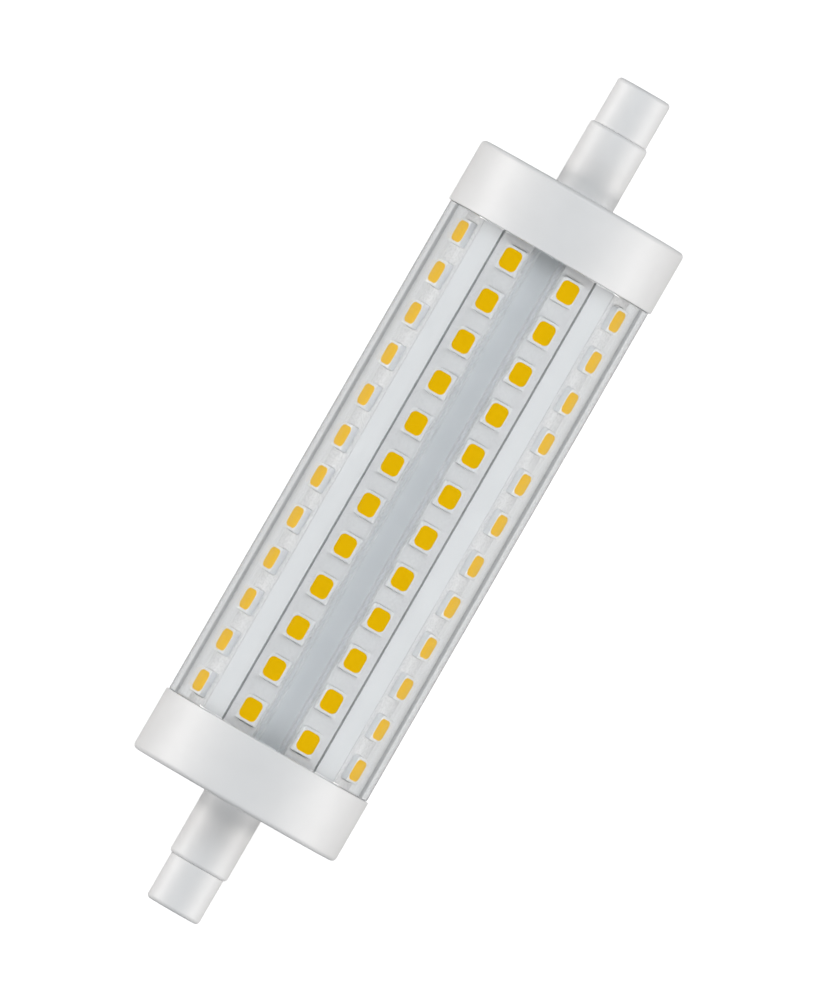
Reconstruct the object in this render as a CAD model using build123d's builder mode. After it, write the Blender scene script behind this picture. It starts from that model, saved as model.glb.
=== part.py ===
from build123d import *
import os
from math import cos, radians, sin

# A double-ended linear LED lamp, in millimetres.
# +X runs along the lamp, +Z points between the two front LED boards, and the origin is the lamp's centre.

# Overall lengths
overall_length = 118.0
tip_length = 6.35
collar_length = 8.95
cap_length = 8.55

# Outside diameters of the clear cover and of the base tips
cover_diameter = 28.4
tip_diameter = 7.4

# Clear cover and end caps
cover_wall = 1.15
cap_step = 0.3
skirt_wall = 0.75
cap_end_wall = 1.2
cap_edge = 0.45
collar_wall = 0.8
collar_edge = 0.35

# Base sleeve and contact
tip_edge = 0.4
stem_step = 0.5
recess_diameter = 4.0
recess_depth = 1.9
seat_lip = 0.4
contact_head_thickness = 1.2
contact_shank_diameter = 1.8
contact_shank_length = 5.0
wire_cup_depth = 2.2

# LED boards, in a pair of a front and a side angle for each quarter of the lamp
front_board_angle = 21.0
side_board_angle = 59.0
board_width = 4.3
board_thickness = 1.0

# LEDs on the boards, and the gap between their faces and the cover
led_count = 12
led_end_margin = 3.5
led_width = 2.8
led_length = 3.5
led_height = 0.7
led_cover_gap = 0.5
front_led_offset = 0.55
side_led_offset = 0.2

# Phosphor fill on each LED
fill_side_margin = 0.14
fill_end_margin = 0.28
fill_corner = 0.55
fill_rise = 0.06

# Carrier
carrier_wall = 1.2
land_rise = 0.5
land_margin = 0.35
rib_rise = 1.0
driver_rebate_depth = 0.4

# Link rings at the ends of the carrier
link_ring_thickness = 1.0
link_ring_margin = 0.45
link_ring_sides = 16
link_tab_width = 2.4
link_tab_length = 2.6

# Fingers inside an end cap, which centre the carrier and press on the link ring
finger_count = 4
finger_start_angle = 45.0
finger_width = 2.4
finger_thickness = 1.4
finger_reach = 2.0
shoulder_rise = 2.2
shoulder_length = 4.0

# Driver board and what it carries
driver_board_thickness = 1.0
rectifier_length = 4.7
rectifier_width = 3.9
rectifier_height = 2.4
rectifier_lead_pitch = 2.5
rectifier_lead_count = 2
rectifier_x = 15.0
chip_length = 4.9
chip_width = 3.9
chip_height = 1.5
chip_lead_pitch = 1.27
chip_lead_count = 4
chip_x = -20.0
lead_reach = 1.1
lead_width = 0.45
lead_thickness = 0.25
package_draft_chamfer = 0.3
capacitor_diameter = 6.3
capacitor_height = 5.8
capacitor_base_width = 6.6
capacitor_base_thickness = 1.0
capacitor_base_chamfer = 1.3
capacitor_x = 12.0
choke_width = 6.8
choke_height = 4.8
choke_corner = 1.1
choke_x = -8.0
fuse_length = 6.1
fuse_width = 2.6
fuse_height = 2.1
fuse_cap_length = 1.3
fuse_cap_rise = 0.12
fuse_x = 24.0

# Supply wires
wire_diameter = 1.0
wire_landing = 4.0

# Clearances
slip_clearance = 0.05
end_clearance = 0.1
wire_clearance = 0.05

# Stations along the lamp, measured from its centre
tip_end = overall_length / 2
collar_end = tip_end - tip_length
cap_face = collar_end - collar_length
cap_inner_face = cap_face - cap_end_wall
cap_rim = cap_face - cap_length
contact_face = tip_end - recess_depth
contact_back = contact_face - contact_head_thickness
shank_end = contact_back - contact_shank_length
link_ring_face = cap_inner_face - shoulder_length
carrier_end = link_ring_face - link_ring_thickness
carrier_length = 2 * carrier_end
led_pitch = (carrier_length - 2 * led_end_margin - led_length) / (led_count - 1)

# Radii that follow from the sizes above
cover_radius = cover_diameter / 2
cover_bore = cover_radius - cover_wall
cap_radius = cover_radius + cap_step
skirt_bore = cap_radius - skirt_wall
cover_end_radius = skirt_bore - slip_clearance
tip_radius = tip_diameter / 2
stem_radius = tip_radius - stem_step
collar_bore = stem_radius + slip_clearance
collar_radius = collar_bore + collar_wall
recess_radius = recess_diameter / 2
pocket_radius = recess_radius + seat_lip
contact_head_radius = pocket_radius - slip_clearance
shank_radius = contact_shank_diameter / 2
wire_radius = wire_diameter / 2
wire_cup_radius = wire_radius + wire_clearance
board_face_radius = cover_bore - led_cover_gap - led_height
land_face = board_face_radius - board_thickness
land_width = board_width + 2 * land_margin
rib_face = land_face + rib_rise
valley_radius = land_face - land_rise
carrier_bore = valley_radius - carrier_wall
link_ring_radius = cover_bore - link_ring_margin
finger_outer = ((carrier_bore - slip_clearance) ** 2 - (finger_width / 2) ** 2) ** 0.5
driver_rebate_half_width = carrier_bore + driver_rebate_depth
driver_board_width = 2 * (driver_rebate_half_width - slip_clearance)
driver_top = driver_board_thickness / 2

ends = (("a", 1), ("b", -1))

# Board angles from +Z towards +Y, each with how far its LEDs and its channel are set off its middle.
# A side board lies against the rib, and a front board has a slot on each side.
quarter_boards = (
    (front_board_angle, -front_led_offset, 0),
    (side_board_angle, side_led_offset, land_margin - slip_clearance),
)
board_places = (
    [(angle, offset, shift) for angle, offset, shift in quarter_boards]
    + [(180 - angle, -offset, -shift) for angle, offset, shift in reversed(quarter_boards)]
    + [(180 + angle, offset, shift) for angle, offset, shift in quarter_boards]
    + [(360 - angle, -offset, -shift) for angle, offset, shift in reversed(quarter_boards)]
)


def board_plane(angle, radius):
    """A plane across the lamp's radius at this angle, with its x along the lamp and its z outwards."""
    outwards = Vector(0, sin(radians(angle)), cos(radians(angle)))
    return Plane(origin=outwards * radius, x_dir=(1, 0, 0), z_dir=outwards)


def finish(solid_part, name):
    """Labels a finished piece and writes it."""
    solid_part.label = name
    export_step(solid_part, f"parts/{name}.step")


os.makedirs("parts", exist_ok=True)

# Clear cover: a tube whose ends are stepped down to go inside the caps' skirts
cover_shoulder = cap_rim - slip_clearance
cover_end = cap_inner_face - end_clearance
with BuildPart() as clear_cover:
    with BuildSketch(Plane.XY):
        with BuildLine():
            Polyline(
                (-cover_end, cover_bore),
                (cover_end, cover_bore),
                (cover_end, cover_end_radius),
                (cover_shoulder, cover_end_radius),
                (cover_shoulder, cover_radius),
                (-cover_shoulder, cover_radius),
                (-cover_shoulder, cover_end_radius),
                (-cover_end, cover_end_radius),
                close=True,
            )
        make_face()
    revolve(axis=Axis.X)
finish(clear_cover.part, "clear_cover")

# End caps: skirt, end wall and collar turned in one, with four stepped fingers inside
for end, sign in ends:
    with BuildPart() as end_cap:
        with BuildSketch(Plane.XY) as cap_profile:
            with BuildLine():
                Polyline(
                    (sign * cap_rim, skirt_bore),
                    (sign * cap_rim, cap_radius),
                    (sign * cap_face, cap_radius),
                    (sign * cap_face, collar_radius),
                    (sign * collar_end, collar_radius),
                    (sign * collar_end, collar_bore),
                    (sign * cap_inner_face, collar_bore),
                    (sign * cap_inner_face, skirt_bore),
                    close=True,
                )
            make_face()
            cap_corner = cap_profile.vertices().sort_by_distance((sign * cap_face, cap_radius, 0))[0]
            chamfer(cap_corner, cap_edge)
            collar_corner = cap_profile.vertices().sort_by_distance((sign * collar_end, collar_radius, 0))[0]
            chamfer(collar_corner, collar_edge)
        revolve(axis=Axis.X)
        with BuildSketch(Plane.YZ.offset(sign * cap_inner_face)):
            with PolarLocations(finger_outer - finger_thickness / 2, finger_count, start_angle=finger_start_angle):
                Rectangle(finger_thickness, finger_width)
        extrude(amount=-sign * (cap_inner_face - carrier_end + finger_reach))
        with BuildSketch(Plane.YZ.offset(sign * cap_inner_face)):
            with PolarLocations(finger_outer + shoulder_rise / 2, finger_count, start_angle=finger_start_angle):
                Rectangle(shoulder_rise, finger_width)
        extrude(amount=-sign * (cap_inner_face - link_ring_face))
    finish(end_cap.part, f"end_cap_{end}")

# Base sleeves: insulating tips with a stem in the collar, and a recess in the end that the contact sits in
for end, sign in ends:
    with BuildPart() as base_sleeve:
        with BuildSketch(Plane.XY) as sleeve_profile:
            with BuildLine():
                Polyline(
                    (sign * contact_face, recess_radius),
                    (sign * tip_end, recess_radius),
                    (sign * tip_end, tip_radius),
                    (sign * collar_end, tip_radius),
                    (sign * collar_end, stem_radius),
                    (sign * cap_inner_face, stem_radius),
                    (sign * cap_inner_face, pocket_radius),
                    (sign * contact_face, pocket_radius),
                    close=True,
                )
            make_face()
            tip_corner = sleeve_profile.vertices().sort_by_distance((sign * tip_end, tip_radius, 0))[0]
            chamfer(tip_corner, tip_edge)
        revolve(axis=Axis.X)
    finish(base_sleeve.part, f"base_sleeve_{end}")

# Contacts: a head against the lip of the recess, and a shank with a cup for the wire
for end, sign in ends:
    with BuildPart() as contact:
        with BuildSketch(Plane.XY):
            with BuildLine():
                Polyline(
                    (sign * contact_face, 0),
                    (sign * contact_face, contact_head_radius),
                    (sign * contact_back, contact_head_radius),
                    (sign * contact_back, shank_radius),
                    (sign * shank_end, shank_radius),
                    (sign * shank_end, wire_cup_radius),
                    (sign * (shank_end + wire_cup_depth), wire_cup_radius),
                    (sign * (shank_end + wire_cup_depth), 0),
                    close=True,
                )
            make_face()
        revolve(axis=Axis.X)
    finish(contact.part, f"contact_{end}")

# Carrier: a tube with eight lands for the boards, a rib between the two boards of each quarter
# and a rebate each side for the driver board, parted along the middle
rib_angle = (front_board_angle + side_board_angle) / 2
rib_angles = (rib_angle, 180 - rib_angle, 180 + rib_angle, 360 - rib_angle)
channel_depth = cover_bore - land_face
for half, kept_side in (("front", Keep.TOP), ("rear", Keep.BOTTOM)):
    with BuildPart() as carrier:
        with BuildSketch(Plane.YZ.offset(-carrier_end)):
            Circle(valley_radius)
            for angle in rib_angles:
                with PolarLocations(rib_face / 2, 1, start_angle=90 - angle):
                    Rectangle(rib_face, land_width)
            for angle, _, channel_shift in board_places:
                with PolarLocations(land_face + channel_depth / 2, 1, start_angle=90 - angle):
                    with Locations((0, -channel_shift)):
                        Rectangle(channel_depth, land_width, mode=Mode.SUBTRACT)
                with PolarLocations(land_face / 2, 1, start_angle=90 - angle):
                    Rectangle(land_face, land_width)
            Circle(carrier_bore, mode=Mode.SUBTRACT)
            rebate_height = driver_board_thickness + 2 * slip_clearance
            Rectangle(2 * driver_rebate_half_width, rebate_height, mode=Mode.SUBTRACT)
        extrude(amount=carrier_length)
        split(bisect_by=Plane.XY, keep=kept_side)
    finish(carrier.part, f"carrier_{half}")

# LED boards, with the packages on them and the phosphor fill on each package's face
for number, (angle, led_offset, _) in enumerate(board_places, start=1):
    with BuildPart() as led_board:
        with BuildSketch(board_plane(angle, land_face)):
            Rectangle(carrier_length, board_width)
        extrude(amount=board_thickness)
    finish(led_board.part, f"led_board_{number}")

    with BuildPart() as led_packages:
        with BuildSketch(board_plane(angle, board_face_radius)):
            with Locations((0, led_offset)), GridLocations(led_pitch, 0, led_count, 1):
                Rectangle(led_length, led_width)
        extrude(amount=led_height)
    finish(led_packages.part, f"led_packages_{number}")

    with BuildPart() as led_phosphor:
        with BuildSketch(board_plane(angle, board_face_radius + led_height)) as fills:
            with Locations((0, led_offset)), GridLocations(led_pitch, 0, led_count, 1):
                Rectangle(led_length - 2 * fill_end_margin, led_width - 2 * fill_side_margin)
            chamfer(fills.vertices(), fill_corner)
        extrude(amount=fill_rise)
    finish(led_phosphor.part, f"led_phosphor_{number}")

# Link rings: boards across the carrier's ends, with two tabs that reach in to the driver board
for end, sign in ends:
    with BuildPart() as link_ring:
        with BuildSketch(Plane.YZ.offset(sign * carrier_end)):
            RegularPolygon(link_ring_radius, link_ring_sides)
            RegularPolygon(carrier_bore, link_ring_sides, major_radius=False, mode=Mode.SUBTRACT)
            with PolarLocations(carrier_bore - link_tab_length / 2 + carrier_wall / 2, 2):
                Rectangle(link_tab_length + carrier_wall, link_tab_width)
        extrude(amount=sign * link_ring_thickness)
    finish(link_ring.part, f"link_ring_{end}")

# Driver board, held by its edges between the two carrier halves, with a notch in each end for a wire
with BuildPart() as driver_board:
    with BuildSketch(Plane.XY.offset(-driver_top)):
        Rectangle(carrier_length, driver_board_width)
        with GridLocations(carrier_length, 0, 2, 1):
            Rectangle(2 * wire_landing, 2 * wire_cup_radius, mode=Mode.SUBTRACT)
    extrude(amount=driver_board_thickness)
finish(driver_board.part, "driver_board")


def moulded_package(name, place_x, length, width, height, lead_pitch, lead_count):
    """A surface-mounted package under the driver board, with flat leads along both long sides."""
    underside = Plane(origin=(place_x, 0, -driver_top), x_dir=(1, 0, 0), z_dir=(0, 0, -1))
    with BuildPart() as package:
        with BuildSketch(underside):
            Rectangle(length, width)
        extrude(amount=height)
        chamfer(package.faces().sort_by(Axis.Z)[0].edges(), package_draft_chamfer)
        with BuildSketch(underside):
            with GridLocations(lead_pitch, 0, lead_count, 1):
                Rectangle(lead_width, width + 2 * lead_reach)
        extrude(amount=lead_thickness)
    finish(package.part, name)


moulded_package(
    "bridge_rectifier",
    rectifier_x,
    rectifier_length,
    rectifier_width,
    rectifier_height,
    rectifier_lead_pitch,
    rectifier_lead_count,
)
moulded_package(
    "driver_chip",
    chip_x,
    chip_length,
    chip_width,
    chip_height,
    chip_lead_pitch,
    chip_lead_count,
)

# Smoothing capacitor: a can that stands on a base plate with two cut corners
with BuildPart() as smoothing_capacitor:
    with BuildSketch(Plane(origin=(capacitor_x, 0, driver_top))) as base_plate:
        Rectangle(capacitor_base_width, capacitor_base_width)
        chamfer(base_plate.vertices().group_by(Axis.X)[-1], capacitor_base_chamfer)
    extrude(amount=capacitor_base_thickness)
    with BuildSketch(Plane(origin=(capacitor_x, 0, driver_top + capacitor_base_thickness))):
        Circle(capacitor_diameter / 2)
    extrude(amount=capacitor_height - capacitor_base_thickness)
finish(smoothing_capacitor.part, "smoothing_capacitor")

# Choke: a shielded block with cut corners
with BuildPart() as choke:
    with BuildSketch(Plane(origin=(choke_x, 0, driver_top))) as choke_outline:
        Rectangle(choke_width, choke_width)
        chamfer(choke_outline.vertices(), choke_corner)
    extrude(amount=choke_height)
finish(choke.part, "choke")

# Input fuse: a square ceramic body between two metal end caps, lying across the underside of the board
fuse_underside = Plane(origin=(fuse_x, 0, -driver_top), x_dir=(0, 1, 0), z_dir=(0, 0, -1))
with BuildPart() as input_fuse:
    with BuildSketch(fuse_underside):
        with GridLocations(fuse_length - fuse_cap_length, 0, 2, 1):
            Rectangle(fuse_cap_length, fuse_width)
    extrude(amount=fuse_height)
    with BuildSketch(fuse_underside.offset(fuse_cap_rise)):
        Rectangle(fuse_length - fuse_cap_length, fuse_width - 2 * fuse_cap_rise)
    extrude(amount=fuse_height - 2 * fuse_cap_rise)
finish(input_fuse.part, "input_fuse")

# Supply wires: from the cup of each contact, straight along the middle into the driver board's notch
wire_start = shank_end + wire_cup_depth - wire_clearance
wire_end = carrier_end - wire_landing + wire_clearance
for end, sign in ends:
    with BuildPart() as supply_wire:
        with BuildSketch(Plane.YZ.offset(sign * wire_end)):
            Circle(wire_radius)
        extrude(amount=sign * (wire_start - wire_end))
    finish(supply_wire.part, f"supply_wire_{end}")
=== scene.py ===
from math import cos, pi, radians, sin, tan

import bmesh
import bpy
from mathutils import Matrix, Vector


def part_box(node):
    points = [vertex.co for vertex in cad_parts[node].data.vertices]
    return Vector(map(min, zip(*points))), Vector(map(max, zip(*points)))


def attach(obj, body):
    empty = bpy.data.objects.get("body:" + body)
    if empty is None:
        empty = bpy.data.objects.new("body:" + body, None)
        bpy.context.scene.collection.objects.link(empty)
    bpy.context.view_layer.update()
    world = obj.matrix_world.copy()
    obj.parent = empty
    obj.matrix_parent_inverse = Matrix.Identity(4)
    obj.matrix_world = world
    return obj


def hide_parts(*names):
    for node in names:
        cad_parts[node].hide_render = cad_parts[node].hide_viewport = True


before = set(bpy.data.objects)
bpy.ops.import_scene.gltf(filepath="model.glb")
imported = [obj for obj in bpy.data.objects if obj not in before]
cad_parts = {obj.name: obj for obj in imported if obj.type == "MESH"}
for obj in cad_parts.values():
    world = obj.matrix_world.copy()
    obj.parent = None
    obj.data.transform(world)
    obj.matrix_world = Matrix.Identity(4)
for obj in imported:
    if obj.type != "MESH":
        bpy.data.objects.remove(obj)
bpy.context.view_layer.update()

# A double-ended linear LED lamp, in metres.
# +X runs along the lamp, and +Z points between the two front LED boards.
MM = 0.001

# Stations along the lamp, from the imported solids
COVER_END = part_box("clear_cover")[1].x
CAP_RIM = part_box("end_cap_a")[0].x
COLLAR_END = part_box("end_cap_a")[1].x
CAP_INNER_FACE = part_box("base_sleeve_a")[0].x
TIP_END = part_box("base_sleeve_a")[1].x
CONTACT_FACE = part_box("contact_a")[1].x
CARRIER_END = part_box("carrier_front")[1].x
LINK_RING_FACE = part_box("link_ring_a")[1].x
LED_ROW_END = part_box("led_packages_1")[1].x

# Driving sizes of the turned pieces
COVER_RADIUS = 14.2 * MM
COVER_WALL = 1.15 * MM
CAP_LENGTH = 8.55 * MM
CAP_STEP = 0.3 * MM
SKIRT_WALL = 0.75 * MM
COLLAR_WALL = 0.8 * MM
TIP_RADIUS = 3.7 * MM
STEM_STEP = 0.5 * MM
RECESS_RADIUS = 2.0 * MM
SEAT_LIP = 0.4 * MM
SLIP_CLEARANCE = 0.05 * MM

# Sizes that follow from them
COVER_BORE = COVER_RADIUS - COVER_WALL
COVER_SHOULDER = CAP_RIM - SLIP_CLEARANCE
CAP_RADIUS = COVER_RADIUS + CAP_STEP
CAP_FACE = CAP_RIM + CAP_LENGTH
SKIRT_BORE = CAP_RADIUS - SKIRT_WALL
COVER_END_RADIUS = SKIRT_BORE - SLIP_CLEARANCE
STEM_RADIUS = TIP_RADIUS - STEM_STEP
COLLAR_BORE = STEM_RADIUS + SLIP_CLEARANCE
COLLAR_RADIUS = COLLAR_BORE + COLLAR_WALL
POCKET_RADIUS = RECESS_RADIUS + SEAT_LIP

# Fingers inside the caps, which fit the carrier's bore
CARRIER_BORE = 9.15 * MM
FINGER_COUNT = 4
FINGER_WIDTH = 2.4 * MM
FINGER_THICKNESS = 1.4 * MM
FINGER_REACH = 2.0 * MM
SHOULDER_RISE = 2.2 * MM
FINGER_OUTER = ((CARRIER_BORE - SLIP_CLEARANCE) ** 2 - (FINGER_WIDTH / 2) ** 2) ** 0.5
FINGER_END = CARRIER_END - FINGER_REACH

# Edge radii of the moulded pieces, and how far the support points lie beside them
COVER_EDGE = 0.1 * MM
CAP_EDGE = 0.65 * MM
CAP_RIM_EDGE = 0.12 * MM
COLLAR_ROOT = 0.3 * MM
COLLAR_EDGE = 0.5 * MM
TIP_EDGE = 0.55 * MM
RECESS_EDGE = 0.2 * MM
SMALL_EDGE = 0.08 * MM
EDGE_SUPPORT = 0.05 * MM

# LEDs
LED_COUNT = 12
LED_LENGTH = 3.5 * MM
LED_WIDTH = 2.8 * MM
LED_HEIGHT = 0.7 * MM
LED_CORNER = 0.1 * MM
LED_DRAFT = 0.03 * MM
LED_EDGE = 0.05 * MM
LED_MARK = 0.45 * MM
LED_COVER_GAP = 0.5 * MM
LED_PITCH = (2 * LED_ROW_END - LED_LENGTH) / (LED_COUNT - 1)
LED_STATIONS = [(index - (LED_COUNT - 1) / 2) * LED_PITCH for index in range(LED_COUNT)]

# Phosphor windows, and the hollow top of the fill in shares of the window and of the hollow's depth
WINDOW_LENGTH = 2.78 * MM
WINDOW_WIDTH = 2.46 * MM
WINDOW_CORNER = 0.7 * MM
WELL_DEPTH = 0.12 * MM
WELL_LIP = 0.03 * MM
FILL_DROP = 0.035 * MM
FILL_HOLLOW = 0.025 * MM
FILL_CLEARANCE = 0.004 * MM
FILL_CURVE = ((1.0, 0), (0.94, 0.5), (0.75, 0.85), (0.4, 1))

# Solder fillets, and their curve in shares of their reach and height
SOLDER_WIDTH = 1.9 * MM
SOLDER_HEIGHT = 0.2 * MM
SOLDER_REACH = 0.13 * MM
SOLDER_CURVE = ((0, 1), (0.25, 0.62), (0.55, 0.28), (1, 0.06))

# LED boards
BOARD_FACE = COVER_BORE - LED_COVER_GAP - LED_HEIGHT
BOARD_WIDTH = 4.3 * MM
BOARD_THICKNESS = 1.0 * MM
BOARD_EDGE = 0.04 * MM
COPPER_RISE = 0.03 * MM
COPPER_MARGIN = 0.3 * MM
COPPER_GAP = 0.4 * MM
COPPER_CORNER = 0.25 * MM

# Angle of each board from +Z towards +Y in degrees, and how far its LEDs are set off its middle
FRONT_BOARD_ANGLE = 21
SIDE_BOARD_ANGLE = 59
FRONT_LED_OFFSET = 0.55 * MM
SIDE_LED_OFFSET = 0.2 * MM
HALF_TURN_BOARDS = (
    (FRONT_BOARD_ANGLE, -FRONT_LED_OFFSET),
    (SIDE_BOARD_ANGLE, SIDE_LED_OFFSET),
    (180 - SIDE_BOARD_ANGLE, -SIDE_LED_OFFSET),
    (180 - FRONT_BOARD_ANGLE, FRONT_LED_OFFSET),
)
BOARD_PLACES = [(half_turn + angle, offset) for half_turn in (0, 180) for angle, offset in HALF_TURN_BOARDS]

# Fineness of round shapes
COVER_SEGMENTS = 384
CAP_SEGMENTS = 256
SLEEVE_SEGMENTS = 128
ARC_STEPS = 6
CORNER_STEPS = 6
SHARP_ANGLE = radians(32)


# Mesh helpers


def rounded_outline(corners):
    """A closed outline from (x, radius, edge radius) corners, with an arc at each corner that has an edge
    radius. A support point beside each arc keeps the long faces flat in the shading."""
    points = []
    for index, (x, r, edge) in enumerate(corners):
        corner = Vector((x, r))
        if edge == 0:
            points.append(corner)
            continue
        back = (Vector(corners[index - 1][:2]) - corner).normalized()
        ahead = (Vector(corners[(index + 1) % len(corners)][:2]) - corner).normalized()
        half_angle = back.angle(ahead) / 2
        centre = corner + (back + ahead).normalized() * (edge / sin(half_angle))
        setback = edge / tan(half_angle)
        first = corner + back * setback - centre
        last = corner + ahead * setback - centre
        sweep = first.angle(last)
        points.append(corner + back * (setback + EDGE_SUPPORT))
        for step in range(ARC_STEPS + 1):
            share = step / ARC_STEPS
            arm = (first * sin((1 - share) * sweep) + last * sin(share * sweep)) / sin(sweep)
            points.append(centre + arm)
        points.append(corner + ahead * (setback + EDGE_SUPPORT))
    return points


def lathe(outline, segments):
    """A closed outline in (x, radius) turned about the lamp's axis."""
    solid = bmesh.new()
    rings = []
    for segment in range(segments):
        turn = 2 * pi * segment / segments
        rings.append([solid.verts.new((x, r * sin(turn), r * cos(turn))) for x, r in outline])
    for here, ahead in zip(rings, rings[1:] + rings[:1]):
        for index in range(len(outline)):
            other = index - 1
            solid.faces.new((here[index], here[other], ahead[other], ahead[index]))
    return solid


def rounded_ring(solid, place, half_length, half_width, corner, height, marked=None):
    """A ring of points round a rectangle with rounded corners. The marked radius is for one corner."""
    ring = []
    for quarter, (side_x, side_y) in enumerate(((1, 1), (-1, 1), (-1, -1), (1, -1))):
        radius = marked if marked and quarter == 0 else corner
        for step in range(CORNER_STEPS + 1):
            turn = (quarter + step / CORNER_STEPS) * pi / 2
            x = side_x * (half_length - radius) + radius * cos(turn)
            y = side_y * (half_width - radius) + radius * sin(turn)
            ring.append(solid.verts.new(place @ Vector((x, y, height))))
    return ring


def loft(solid, rings):
    """A closed skin through rings of points, with a flat face at each end."""
    solid.faces.new(list(reversed(rings[0])))
    for lower, upper in zip(rings, rings[1:]):
        for index in range(len(lower)):
            other = index - 1
            solid.faces.new((lower[other], lower[index], upper[index], upper[other]))
    solid.faces.new(rings[-1])


def prism(solid, place, outline, half_width):
    """An outline in (x, z) drawn out both ways along y."""
    ends = (half_width, -half_width)
    loft(solid, [[solid.verts.new(place @ Vector((x, y, z))) for x, z in outline] for y in ends])


def add_piece(name, solid, material, replaced=()):
    """Makes a piece of the lamp from a finished solid. It stands for the replaced CAD nodes."""
    bmesh.ops.recalc_face_normals(solid, faces=solid.faces)
    mesh = bpy.data.meshes.new(name)
    solid.to_mesh(mesh)
    solid.free()
    mesh.shade_smooth()
    mesh.set_sharp_from_angle(angle=SHARP_ANGLE)
    mesh.materials.append(material)
    piece = bpy.data.objects.new(name, mesh)
    bpy.context.scene.collection.objects.link(piece)
    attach(piece, "root")
    if replaced:
        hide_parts(*replaced)
    return piece


# Node helpers

NOISE_MIDDLE = (0.3, 0.7)


def grey(level):
    """A neutral tone."""
    return (level, level, level)


def add_node(tree, kind, sockets=None, **settings):
    """A new node with some of its sockets and settings given."""
    node = tree.nodes.new(kind)
    for name, value in settings.items():
        setattr(node, name, value)
    for name, value in (sockets or {}).items():
        node.inputs[name].default_value = value
    return node


def new_material(name, sockets):
    """A node material whose shader has these socket values."""
    material = bpy.data.materials.new(name)
    material.use_nodes = True
    shader = material.node_tree.nodes["Principled BSDF"]
    for socket, value in sockets.items():
        shader.inputs[socket].default_value = value
    return material, material.node_tree, shader


def position(tree, stretch=(1, 1, 1)):
    """Position on the lamp, drawn out along an axis where its stretch is below 1."""
    coordinates = add_node(tree, "ShaderNodeTexCoord")
    mapping = add_node(tree, "ShaderNodeMapping", {"Scale": stretch})
    tree.links.new(coordinates.outputs["Object"], mapping.inputs["Vector"])
    return mapping.outputs["Vector"]


def noise(tree, place, size, detail=2.0):
    """Cloudy noise with features of about this size."""
    texture = add_node(tree, "ShaderNodeTexNoise", {"Scale": 1 / size, "Detail": detail})
    tree.links.new(place, texture.inputs["Vector"])
    return texture.outputs["Fac"]


def change(tree, value, places, levels, kind="LINEAR"):
    """A change from one level to another as a value goes from the first place to the second."""
    step = add_node(tree, "ShaderNodeMapRange", interpolation_type=kind)
    for socket, number in zip(("From Min", "From Max", "To Min", "To Max"), (*places, *levels)):
        step.inputs[socket].default_value = number
    tree.links.new(value, step.inputs["Value"])
    return step.outputs["Result"]


def smooth_step(tree, value, places, levels=(0, 1)):
    """A change that starts and ends softly."""
    return change(tree, value, places, levels, "SMOOTHSTEP")


def spread(tree, value, low, high):
    """The middle of a noise value spread from low to high."""
    return change(tree, value, NOISE_MIDDLE, (low, high))


def tones(tree, value, low, high):
    """A colour between two tones by a noise value."""
    ramp = add_node(tree, "ShaderNodeValToRGB")
    for element, place, colour in zip(ramp.color_ramp.elements, NOISE_MIDDLE, (low, high)):
        element.position = place
        element.color = (*colour, 1)
    tree.links.new(value, ramp.inputs["Fac"])
    return ramp.outputs["Color"]


def worked_out(tree, operation, *values):
    """A sum, product or size of values, each a socket or a plain number."""
    node = add_node(tree, "ShaderNodeMath", operation=operation)
    for socket, value in zip(node.inputs, values):
        if isinstance(value, (int, float)):
            socket.default_value = value
        else:
            tree.links.new(value, socket)
    return node.outputs["Value"]


def relief(tree, shader, height, depth):
    """A bump of this depth in metres."""
    bump = add_node(tree, "ShaderNodeBump", {"Distance": depth})
    tree.links.new(height, bump.inputs["Height"])
    tree.links.new(bump.outputs["Normal"], shader.inputs["Normal"])


# Materials

DRAW_LINE_WIDTH = 0.5 * MM
PHOSPHOR_GRAIN = 0.09 * MM
PHOSPHOR_CLOUD = 0.4 * MM
GRAIN_SHARE = 0.35
TURNING_MARKS_PER_METRE = 2600
TRACK_SPACING = 6 * MM


def plain_finish(name, low, high, roughness, grain, depth, sockets=None, stretch=(1, 1, 1), cloud=5 * MM):
    """A surface with a slow change of tone, an uneven gloss and a fine grain."""
    material, tree, shader = new_material(name, sockets or {})
    slow = noise(tree, position(tree), cloud)
    fine = noise(tree, position(tree, stretch), grain, detail=4)
    tree.links.new(tones(tree, slow, low, high), shader.inputs["Base Color"])
    tree.links.new(spread(tree, fine, *roughness), shader.inputs["Roughness"])
    relief(tree, shader, fine, depth)
    return material


def clear_plastic():
    """Clear tube with faint draw lines, which lets light straight through to what it covers."""
    sockets = {"Base Color": (0.985, 0.992, 0.995, 1), "Transmission Weight": 1.0, "IOR": 1.585}
    material, tree, shader = new_material("clear_plastic", sockets)
    lines = noise(tree, position(tree, stretch=(0.02, 1, 1)), DRAW_LINE_WIDTH)
    tree.links.new(spread(tree, lines, low=0.0, high=0.03), shader.inputs["Roughness"])
    relief(tree, shader, lines, depth=0.0006 * MM)
    light_path = add_node(tree, "ShaderNodeLightPath")
    through = add_node(tree, "ShaderNodeBsdfTransparent", {"Color": (0.975, 0.98, 0.985, 1)})
    surface = shader.outputs["BSDF"]
    for ray in ("Is Diffuse Ray", "Is Shadow Ray"):
        mix = add_node(tree, "ShaderNodeMixShader")
        tree.links.new(light_path.outputs[ray], mix.inputs["Fac"])
        tree.links.new(surface, mix.inputs[1])
        tree.links.new(through.outputs["BSDF"], mix.inputs[2])
        surface = mix.outputs["Shader"]
    tree.links.new(surface, tree.nodes["Material Output"].inputs["Surface"])
    return material


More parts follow.
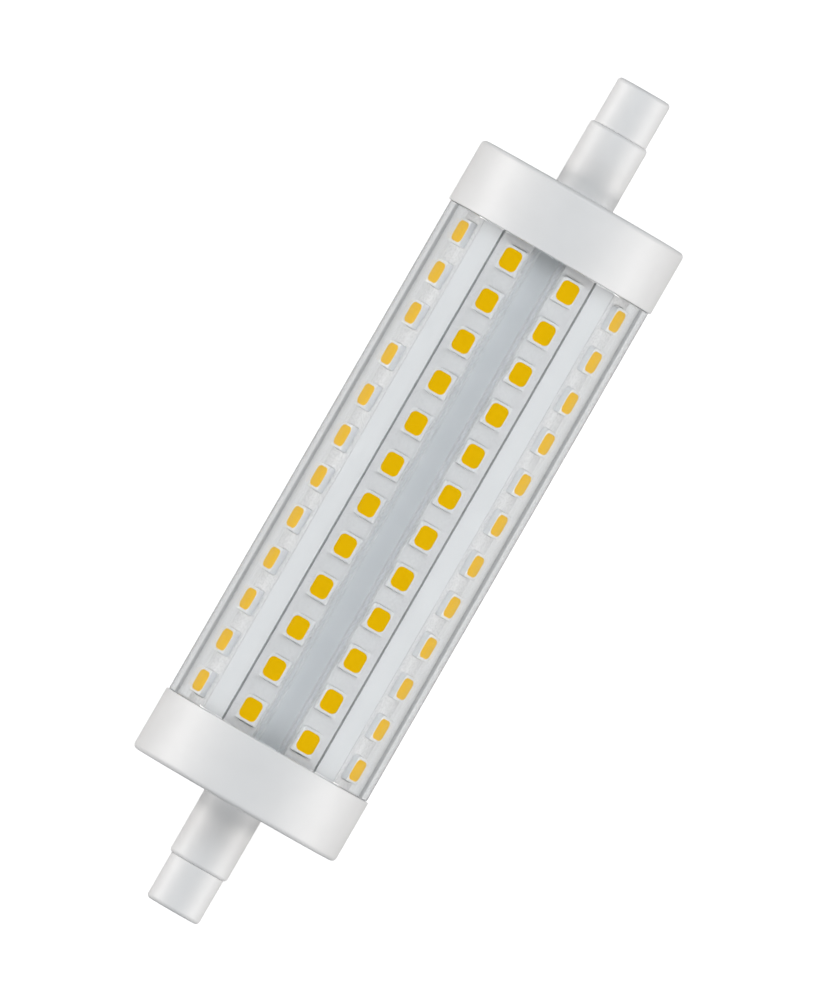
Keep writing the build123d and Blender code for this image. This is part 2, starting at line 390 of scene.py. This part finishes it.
def phosphor():
    """Yellow phosphor grains in clear silicone."""
    material, tree, shader = new_material("phosphor", {"IOR": 1.41, "Specular IOR Level": 0.0})
    grains = add_node(tree, "ShaderNodeTexVoronoi", {"Scale": 1 / PHOSPHOR_GRAIN})
    tree.links.new(position(tree), grains.inputs["Vector"])
    cloudy = noise(tree, position(tree), PHOSPHOR_CLOUD, detail=4)
    mixed = worked_out(tree, "MULTIPLY_ADD", grains.outputs["Distance"], GRAIN_SHARE, cloudy)
    colour = tones(tree, mixed, low=(0.95, 0.51, 0.0), high=(1.0, 0.58, 0.003))
    tree.links.new(colour, shader.inputs["Base Color"])
    tree.links.new(spread(tree, cloudy, low=0.3, high=0.42), shader.inputs["Roughness"])
    relief(tree, shader, mixed, depth=0.004 * MM)
    return material


def turned_metal():
    """Nickel-plated metal with fine turning marks round the lamp's axis."""
    material, tree, shader = new_material("turned_metal", {"Metallic": 1.0})
    marks = {"Scale": TURNING_MARKS_PER_METRE, "Distortion": 0.6, "Detail": 2.0}
    rings = add_node(tree, "ShaderNodeTexWave", marks, wave_type="RINGS", rings_direction="X")
    tree.links.new(position(tree), rings.inputs["Vector"])
    slow = noise(tree, position(tree), size=1.2 * MM)
    colour = tones(tree, slow, low=(0.62, 0.60, 0.55), high=(0.74, 0.72, 0.68))
    tree.links.new(colour, shader.inputs["Base Color"])
    tree.links.new(spread(tree, rings.outputs["Fac"], low=0.2, high=0.32), shader.inputs["Roughness"])
    relief(tree, shader, rings.outputs["Fac"], depth=0.002 * MM)
    return material


def circuit_board():
    """Green solder mask over a pattern of tracks."""
    material, tree, shader = new_material("circuit_board", {"Coat Weight": 0.3, "Coat Roughness": 0.15})
    pattern = {
        "Scale": 1 / TRACK_SPACING,
        "Mortar Size": 0.04,
        "Color1": (0.02, 0.16, 0.06, 1),
        "Color2": (0.025, 0.19, 0.07, 1),
        "Mortar": (0.01, 0.10, 0.035, 1),
    }
    tracks = add_node(tree, "ShaderNodeTexBrick", pattern)
    tree.links.new(position(tree), tracks.inputs["Vector"])
    fine = noise(tree, position(tree), size=0.3 * MM)
    tree.links.new(tracks.outputs["Color"], shader.inputs["Base Color"])
    tree.links.new(spread(tree, fine, low=0.3, high=0.42), shader.inputs["Roughness"])
    relief(tree, shader, tracks.outputs["Fac"], depth=0.01 * MM)
    return material


cover_clear = clear_plastic()
cap_white = plain_finish(
    "cap_white", low=grey(0.775), high=grey(0.805), roughness=(0.42, 0.54),
    grain=0.16 * MM, depth=0.0022 * MM, sockets={"Specular IOR Level": 0.75},
)
carrier_white = plain_finish(
    "carrier_white", low=(0.785, 0.795, 0.80), high=(0.81, 0.82, 0.825), roughness=(0.55, 0.7),
    grain=0.3 * MM, depth=0.003 * MM, sockets={"Specular IOR Level": 0.3}, stretch=(0.03, 1, 1),
)
mask_white = plain_finish(
    "mask_white", low=grey(0.77), high=grey(0.80), roughness=(0.22, 0.34),
    grain=0.25 * MM, depth=0.002 * MM, sockets={"Coat Weight": 0.25, "Coat Roughness": 0.12},
)
led_white = plain_finish(
    "led_white", low=grey(0.83), high=grey(0.86), roughness=(0.28, 0.42),
    grain=0.12 * MM, depth=0.0015 * MM, cloud=0.8 * MM,
)
phosphor_yellow = phosphor()
solder_grey = plain_finish(
    "solder_grey", low=(0.70, 0.70, 0.71), high=(0.80, 0.80, 0.80), roughness=(0.25, 0.42),
    grain=0.1 * MM, depth=0.004 * MM, sockets={"Metallic": 1.0}, cloud=0.3 * MM,
)
contact_nickel = turned_metal()
board_green = circuit_board()
black_moulding = plain_finish(
    "black_moulding", low=(0.018, 0.018, 0.019), high=(0.03, 0.03, 0.031), roughness=(0.45, 0.62),
    grain=0.1 * MM, depth=0.004 * MM,
)
can_metal = plain_finish(
    "can_metal", low=(0.62, 0.63, 0.64), high=(0.72, 0.72, 0.73), roughness=(0.22, 0.36),
    grain=0.2 * MM, depth=0.003 * MM, sockets={"Metallic": 1.0}, stretch=(1, 1, 0.05),
)
ferrite_grey = plain_finish(
    "ferrite_grey", low=(0.045, 0.043, 0.042), high=(0.075, 0.072, 0.07), roughness=(0.55, 0.75),
    grain=0.12 * MM, depth=0.008 * MM,
)
fuse_ceramic = plain_finish(
    "fuse_ceramic", low=(0.60, 0.58, 0.53), high=(0.70, 0.68, 0.63), roughness=(0.4, 0.55),
    grain=0.15 * MM, depth=0.003 * MM,
)
wire_sleeve = plain_finish(
    "wire_sleeve", low=(0.55, 0.04, 0.03), high=(0.65, 0.06, 0.045), roughness=(0.35, 0.5),
    grain=0.2 * MM, depth=0.004 * MM, stretch=(0.05, 1, 1),
)


# Clear cover: a tube stepped down at its ends, which go inside the caps
cover_outline = rounded_outline(
    [
        (-COVER_END, COVER_BORE, COVER_EDGE),
        (COVER_END, COVER_BORE, COVER_EDGE),
        (COVER_END, COVER_END_RADIUS, COVER_EDGE),
        (COVER_SHOULDER, COVER_END_RADIUS, 0),
        (COVER_SHOULDER, COVER_RADIUS, COVER_EDGE),
        (-COVER_SHOULDER, COVER_RADIUS, COVER_EDGE),
        (-COVER_SHOULDER, COVER_END_RADIUS, 0),
        (-COVER_END, COVER_END_RADIUS, COVER_EDGE),
    ]
)
add_piece("cover_tube", lathe(cover_outline, COVER_SEGMENTS), cover_clear, ["clear_cover"])


# End caps and base sleeves


def cap_solid(sign):
    """An end cap's skirt, end wall and collar."""
    outline = [
        (sign * CAP_RIM, SKIRT_BORE, SMALL_EDGE),
        (sign * CAP_RIM, CAP_RADIUS, CAP_RIM_EDGE),
        (sign * CAP_FACE, CAP_RADIUS, CAP_EDGE),
        (sign * CAP_FACE, COLLAR_RADIUS, COLLAR_ROOT),
        (sign * COLLAR_END, COLLAR_RADIUS, COLLAR_EDGE),
        (sign * COLLAR_END, COLLAR_BORE, SMALL_EDGE),
        (sign * CAP_INNER_FACE, COLLAR_BORE, SMALL_EDGE),
        (sign * CAP_INNER_FACE, SKIRT_BORE, COLLAR_ROOT),
    ]
    return lathe(rounded_outline(outline), CAP_SEGMENTS)


def cap_fingers(sign):
    """The four stepped fingers inside an end cap, with their roots in its end wall."""
    root = (CAP_INNER_FACE + CAP_FACE) / 2
    inner = FINGER_OUTER - FINGER_THICKNESS
    shoulder = FINGER_OUTER + SHOULDER_RISE
    outline = [
        (sign * root, inner),
        (sign * FINGER_END, inner),
        (sign * FINGER_END, FINGER_OUTER),
        (sign * LINK_RING_FACE, FINGER_OUTER),
        (sign * LINK_RING_FACE, shoulder),
        (sign * root, shoulder),
    ]
    fingers = bmesh.new()
    for index in range(FINGER_COUNT):
        turn = Matrix.Rotation((index + 0.5) * 2 * pi / FINGER_COUNT, 4, "X")
        prism(fingers, turn, outline, FINGER_WIDTH / 2)
    return fingers


def sleeve_solid(sign):
    """A base sleeve: a tip with a recess in its end, and a stem with a pocket for the contact."""
    outline = [
        (sign * CONTACT_FACE, RECESS_RADIUS, SMALL_EDGE),
        (sign * TIP_END, RECESS_RADIUS, RECESS_EDGE),
        (sign * TIP_END, TIP_RADIUS, TIP_EDGE),
        (sign * COLLAR_END, TIP_RADIUS, SMALL_EDGE),
        (sign * COLLAR_END, STEM_RADIUS, 0),
        (sign * CAP_INNER_FACE, STEM_RADIUS, SMALL_EDGE),
        (sign * CAP_INNER_FACE, POCKET_RADIUS, SMALL_EDGE),
        (sign * CONTACT_FACE, POCKET_RADIUS, 0),
    ]
    return lathe(rounded_outline(outline), SLEEVE_SEGMENTS)


def weld(piece, solid):
    """Joins a closed solid to a piece, so that the two are one skin."""
    bmesh.ops.recalc_face_normals(solid, faces=solid.faces)
    mesh = bpy.data.meshes.new("joined_solid")
    solid.to_mesh(mesh)
    solid.free()
    other = bpy.data.objects.new("joined_solid", mesh)
    bpy.context.scene.collection.objects.link(other)
    union = piece.modifiers.new("union", "BOOLEAN")
    union.operation = "UNION"
    union.object = other
    joined = bpy.data.meshes.new_from_object(piece.evaluated_get(bpy.context.evaluated_depsgraph_get()))
    piece.modifiers.clear()
    piece.data = joined
    piece.data.shade_smooth()
    piece.data.set_sharp_from_angle(angle=SHARP_ANGLE)
    bpy.data.objects.remove(other)


for end, sign in (("a", 1), ("b", -1)):
    cap = add_piece(f"cap_shell_{end}", cap_solid(sign), cap_white, [f"end_cap_{end}"])
    weld(cap, cap_fingers(sign))
    add_piece(f"base_tip_{end}", sleeve_solid(sign), cap_white, [f"base_sleeve_{end}"])


# LED boards with their packages, phosphor and solder


def board_matrix(angle, offset=0.0, along=0.0):
    """A frame on a board's face, with x along the lamp, y across the board and z outwards."""
    turn = radians(angle)
    outwards = Vector((0, sin(turn), cos(turn)))
    across = Vector((0, cos(turn), -sin(turn)))
    origin = outwards * BOARD_FACE + across * offset + Vector((along, 0, 0))
    axes = Matrix(((1, 0, 0), across, outwards)).transposed()
    return Matrix.Translation(origin) @ axes.to_4x4()


def board_solid(angle):
    """A board with the copper areas standing up a little under its white mask."""
    solid = bmesh.new()
    place = board_matrix(angle)
    half_width = BOARD_WIDTH / 2
    mask = -COPPER_RISE
    loft(
        solid,
        [
            rounded_ring(solid, place, CARRIER_END, half_width, BOARD_EDGE, -BOARD_THICKNESS),
            rounded_ring(solid, place, CARRIER_END, half_width, BOARD_EDGE, mask - BOARD_EDGE),
            rounded_ring(solid, place, CARRIER_END - BOARD_EDGE, half_width - BOARD_EDGE, BOARD_EDGE, mask),
        ],
    )
    breaks = [-CARRIER_END, *LED_STATIONS, CARRIER_END]
    for start, stop in zip(breaks, breaks[1:]):
        island = board_matrix(angle, along=(start + stop) / 2)
        half_length = (stop - start - COPPER_GAP) / 2
        half_copper = half_width - COPPER_MARGIN
        loft(
            solid,
            [
                rounded_ring(solid, island, half_length, half_copper, COPPER_CORNER, 2 * mask),
                rounded_ring(solid, island, half_length, half_copper, COPPER_CORNER, mask),
                rounded_ring(solid, island, half_length + mask, half_copper + mask, COPPER_CORNER, 0),
            ],
        )
    return solid


def package_solid(angle, offset):
    """The white LED packages of one board, each with a shallow well in its face and one cut corner."""
    solid = bmesh.new()
    half_length, half_width = LED_LENGTH / 2, LED_WIDTH / 2
    top_length, top_width = half_length - LED_DRAFT, half_width - LED_DRAFT
    well_length, well_width = WINDOW_LENGTH / 2, WINDOW_WIDTH / 2
    steps = (
        (half_length, half_width, LED_CORNER, 0, LED_MARK),
        (top_length, top_width, LED_CORNER, LED_HEIGHT - LED_EDGE, LED_MARK),
        (top_length - LED_EDGE, top_width - LED_EDGE, LED_CORNER, LED_HEIGHT, LED_MARK),
        (well_length + WELL_LIP, well_width + WELL_LIP, WINDOW_CORNER + WELL_LIP, LED_HEIGHT, None),
        (well_length, well_width, WINDOW_CORNER, LED_HEIGHT - WELL_LIP, None),
        (well_length, well_width, WINDOW_CORNER, LED_HEIGHT - WELL_DEPTH, None),
    )
    for station in LED_STATIONS:
        place = board_matrix(angle, offset, station)
        loft(solid, [rounded_ring(solid, place, *step) for step in steps])
    return solid


def phosphor_solid(angle, offset):
    """The phosphor fill in the wells of one board's LEDs, a little hollow in the middle."""
    solid = bmesh.new()
    top = LED_HEIGHT - FILL_DROP
    half_length, half_width = WINDOW_LENGTH / 2 - FILL_CLEARANCE, WINDOW_WIDTH / 2 - FILL_CLEARANCE
    steps = [(1.0, LED_HEIGHT - WELL_DEPTH)]
    steps += [(share, top - depth * FILL_HOLLOW) for share, depth in FILL_CURVE]
    for station in LED_STATIONS:
        place = board_matrix(angle, offset, station)
        rings = []
        for share, height in steps:
            corner = share * WINDOW_CORNER
            rings.append(rounded_ring(solid, place, share * half_length, share * half_width, corner, height))
        loft(solid, rings)
    return solid


def solder_solid(angle, offset):
    """The solder fillets at both ends of one board's LEDs."""
    solid = bmesh.new()
    for station in LED_STATIONS:
        place = board_matrix(angle, offset, station)
        for sign in (1, -1):
            inner = sign * (LED_LENGTH / 2 - LED_DRAFT)
            outer = inner + sign * SOLDER_REACH
            curve = [(inner + sign * x * SOLDER_REACH, z * SOLDER_HEIGHT) for x, z in SOLDER_CURVE]
            prism(solid, place, [(inner, 0), *curve, (outer, 0)], SOLDER_WIDTH / 2)
    return solid


for number, (angle, offset) in enumerate(BOARD_PLACES, start=1):
    packages = package_solid(angle, offset)
    fill = phosphor_solid(angle, offset)
    add_piece(f"led_strip_{number}", board_solid(angle), mask_white, [f"led_board_{number}"])
    add_piece(f"led_bodies_{number}", packages, led_white, [f"led_packages_{number}"])
    add_piece(f"phosphor_fill_{number}", fill, phosphor_yellow, [f"led_phosphor_{number}"])
    add_piece(f"solder_fillets_{number}", solder_solid(angle, offset), solder_grey)


# Finishes of the solids that show as they are
CAD_FINISHES = {
    "contact_a": contact_nickel,
    "contact_b": contact_nickel,
    "carrier_front": carrier_white,
    "carrier_rear": carrier_white,
    "link_ring_a": board_green,
    "link_ring_b": board_green,
    "driver_board": board_green,
    "bridge_rectifier": black_moulding,
    "driver_chip": black_moulding,
    "smoothing_capacitor": can_metal,
    "choke": ferrite_grey,
    "input_fuse": fuse_ceramic,
    "supply_wire_a": wire_sleeve,
    "supply_wire_b": wire_sleeve,
}
for node_name, finish in CAD_FINISHES.items():
    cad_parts[node_name].material_slots[0].material = finish


# Studio

# Floor, and the strength that its glow has for each kind of ray
FLOOR_SIZE = 6.0
FLOOR_CLOUD = 0.3
FLOOR_TONES = (grey(0.46), grey(0.50))
FLOOR_GLOW = {"Is Camera Ray": 0.8, "Is Glossy Ray": 0.05, "Is Transmission Ray": 0.43}

# Painted shade on the floor beside the tube, a dark card seen only in reflections and through the tube: where
# its edges fade, and its share of the floor's tone
PAINTED_SHADE_INNER_EDGE = (23.0 * MM, 25.0 * MM)
PAINTED_SHADE_OUTER_EDGE = (120 * MM, 140 * MM)
PAINTED_SHADE_END = (CAP_RIM, CAP_RIM + 2 * MM)
PAINTED_SHADE_TONE = 0.75

# Light tent: where its slot and foot fade, as parts of a direction of length 1,
# and the strength that the horizon's glow has for each kind of ray
TENT_LEVEL = 0.98
TENT_SLOT = (0.25, 0.5)
TENT_FOOT = (0.35, 0.6)
HORIZON_GLOW = {"Is Camera Ray": 1.0, "Is Transmission Ray": 0.85}

# Softboxes: turn from the camera towards +Y and tilt towards +X in degrees, size in metres,
# and the level to which they light a white surface that faces them
LIGHT_DISTANCE = 0.7
WARM_WHITE = (1.0, 0.965, 0.935)
COOL_WHITE = (0.925, 0.965, 1.0)
SIDE_TILTS = {"upper": 8.6, "lower": -8.6}
SIDE_WIDTH = 0.1
SIDE_SOFTBOXES = {
    "left": {"turn": 62, "height": 0.3, "level": 0.096},
    "right": {"turn": -62, "height": 0.3, "level": 0.136},
    "left_low": {"turn": 85, "height": 0.1, "level": 0.212},
    "right_low": {"turn": -85, "height": 0.1, "level": 0.155},
}
END_WIDTH = 0.12
END_SOFTBOXES = {
    "key": {"turn": -4, "tilt": 24, "height": 0.3, "level": 0.215},
    "foot": {"turn": 4, "tilt": -20, "height": 0.12, "level": 0.075},
}

# Camera
SENSOR_WIDTH = 36
CAMERA_DISTANCE = 4.0
CAMERA_ROLL = radians(-60)
CAMERA_TURN = radians(-0.42)
FRAME_HEIGHT = 124.6 * MM
FRAME_PIXELS = 1000
LAMP_OFFSET_PIXELS = (2.85, 0.78)


def ray_glow(tree, shares, base=0.0):
    """A strength that adds a share for each kind of ray to a base."""
    light_path = add_node(tree, "ShaderNodeLightPath")
    for ray, share in shares.items():
        base = worked_out(tree, "MULTIPLY_ADD", light_path.outputs[ray], share, base)
    return base


def floor_material():
    """Pale floor that shows as white and keeps the lamp's shadow. On each side of the clear tube, painted
    shade (a dark card) darkens the floor only in reflections and through the tube, where it draws the dark
    lines along the tube's edges."""
    material, tree, shader = new_material("pale_floor", {"Roughness": 0.9, "Specular IOR Level": 0.0})
    split = add_node(tree, "ShaderNodeSeparateXYZ")
    tree.links.new(position(tree), split.inputs["Vector"])
    along = worked_out(tree, "ABSOLUTE", split.outputs["X"])
    beside = worked_out(tree, "ABSOLUTE", split.outputs["Y"])
    # Painted shade: a dark patch beside the tube that only glossy and transmission rays see
    painted_shade = smooth_step(tree, along, PAINTED_SHADE_END, (1, 0))
    painted_shade = worked_out(tree, "MULTIPLY", painted_shade, smooth_step(tree, beside, PAINTED_SHADE_INNER_EDGE))
    painted_shade = worked_out(tree, "MULTIPLY", painted_shade, smooth_step(tree, beside, PAINTED_SHADE_OUTER_EDGE, (1, 0)))

    light_path = add_node(tree, "ShaderNodeLightPath")
    # In reflections the painted shade darkens the floor's tone
    mirrored_painted_shade = worked_out(tree, "MULTIPLY", light_path.outputs["Is Glossy Ray"], painted_shade)
    shade = add_node(tree, "ShaderNodeHueSaturation")
    slow = noise(tree, position(tree), FLOOR_CLOUD)
    tree.links.new(tones(tree, slow, *FLOOR_TONES), shade.inputs["Color"])
    tree.links.new(worked_out(tree, "MULTIPLY_ADD", mirrored_painted_shade, PAINTED_SHADE_TONE - 1, 1), shade.inputs["Value"])
    tree.links.new(shade.outputs["Color"], shader.inputs["Base Color"])

    through = FLOOR_GLOW["Is Transmission Ray"]
    # Through the tube the painted shade takes the floor's glow away
    shares = {**FLOOR_GLOW, "Is Transmission Ray": worked_out(tree, "MULTIPLY_ADD", painted_shade, -through, through)}
    glow = add_node(tree, "ShaderNodeEmission")
    tree.links.new(ray_glow(tree, shares), glow.inputs["Strength"])
    both = add_node(tree, "ShaderNodeAddShader")
    tree.links.new(shader.outputs["BSDF"], both.inputs[0])
    tree.links.new(glow.outputs["Emission"], both.inputs[1])
    tree.links.new(both.outputs["Shader"], tree.nodes["Material Output"].inputs["Surface"])
    return material


def make_floor():
    """A level floor that the caps rest on."""
    solid = bmesh.new()
    bmesh.ops.create_grid(solid, x_segments=1, y_segments=1, size=FLOOR_SIZE / 2)
    mesh = bpy.data.meshes.new("floor")
    solid.to_mesh(mesh)
    solid.free()
    mesh.materials.append(floor_material())
    floor = bpy.data.objects.new("floor", mesh)
    floor.location.z = -CAP_RADIUS
    bpy.context.scene.collection.objects.link(floor)


def make_world():
    """A light tent over both ends of the lamp, with a dark slot across the middle where the camera looks in.
    The horizon under it shows as white to the camera and through the clear tube."""
    world = bpy.data.worlds.new("tent")
    world.use_nodes = True
    tree = world.node_tree
    background = tree.nodes["Background"]
    background.inputs["Color"].default_value = (*COOL_WHITE, 1)
    direction = add_node(tree, "ShaderNodeTexCoord")
    split = add_node(tree, "ShaderNodeSeparateXYZ")
    tree.links.new(direction.outputs["Generated"], split.inputs["Vector"])
    along = worked_out(tree, "ABSOLUTE", split.outputs["X"])
    up = split.outputs["Z"]
    ends = smooth_step(tree, along, TENT_SLOT, (0, TENT_LEVEL))
    tent = worked_out(tree, "MULTIPLY", ends, smooth_step(tree, up, TENT_FOOT))
    shares = {ray: smooth_step(tree, up, TENT_FOOT, (glow, 0)) for ray, glow in HORIZON_GLOW.items()}
    tree.links.new(ray_glow(tree, shares, tent), background.inputs["Strength"])
    bpy.context.scene.world = world


def soft_light(name, turn, tilt, width, height, level, colour):
    """A softbox above the lamp, facing it."""
    data = bpy.data.lights.new(name, "AREA")
    data.shape = "RECTANGLE"
    data.size = width
    data.size_y = height
    data.color = colour
    data.energy = level * (pi * LIGHT_DISTANCE) ** 2
    light = bpy.data.objects.new(name, data)
    turn, tilt = radians(turn), radians(tilt)
    towards = Vector((sin(tilt), cos(tilt) * sin(turn), cos(tilt) * cos(turn)))
    light.location = towards * LIGHT_DISTANCE
    light.rotation_euler = towards.to_track_quat("Z", "Y").to_euler()
    light.visible_camera = False
    bpy.context.scene.collection.objects.link(light)


def make_camera():
    """A long lens straight above, rolled so that the lamp leans to the right."""
    data = bpy.data.cameras.new("camera")
    data.sensor_width = SENSOR_WIDTH
    data.lens = SENSOR_WIDTH * CAMERA_DISTANCE / FRAME_HEIGHT
    camera = bpy.data.objects.new("camera", data)
    across, along = (pixels * FRAME_HEIGHT / FRAME_PIXELS for pixels in LAMP_OFFSET_PIXELS)
    offset = Matrix.Translation((across, along, CAMERA_DISTANCE))
    camera.matrix_world = Matrix.Rotation(CAMERA_TURN, 4, "X") @ Matrix.Rotation(CAMERA_ROLL, 4, "Z") @ offset
    bpy.context.scene.collection.objects.link(camera)
    bpy.context.scene.camera = camera


make_floor()
make_world()
for end, tilt in SIDE_TILTS.items():
    for name, softbox in SIDE_SOFTBOXES.items():
        soft_light(f"{name}_{end}", tilt=tilt, width=SIDE_WIDTH, colour=WARM_WHITE, **softbox)
for name, softbox in END_SOFTBOXES.items():
    soft_light(name, width=END_WIDTH, colour=COOL_WHITE, **softbox)
make_camera()
bpy.context.scene.view_settings.view_transform = "Standard"
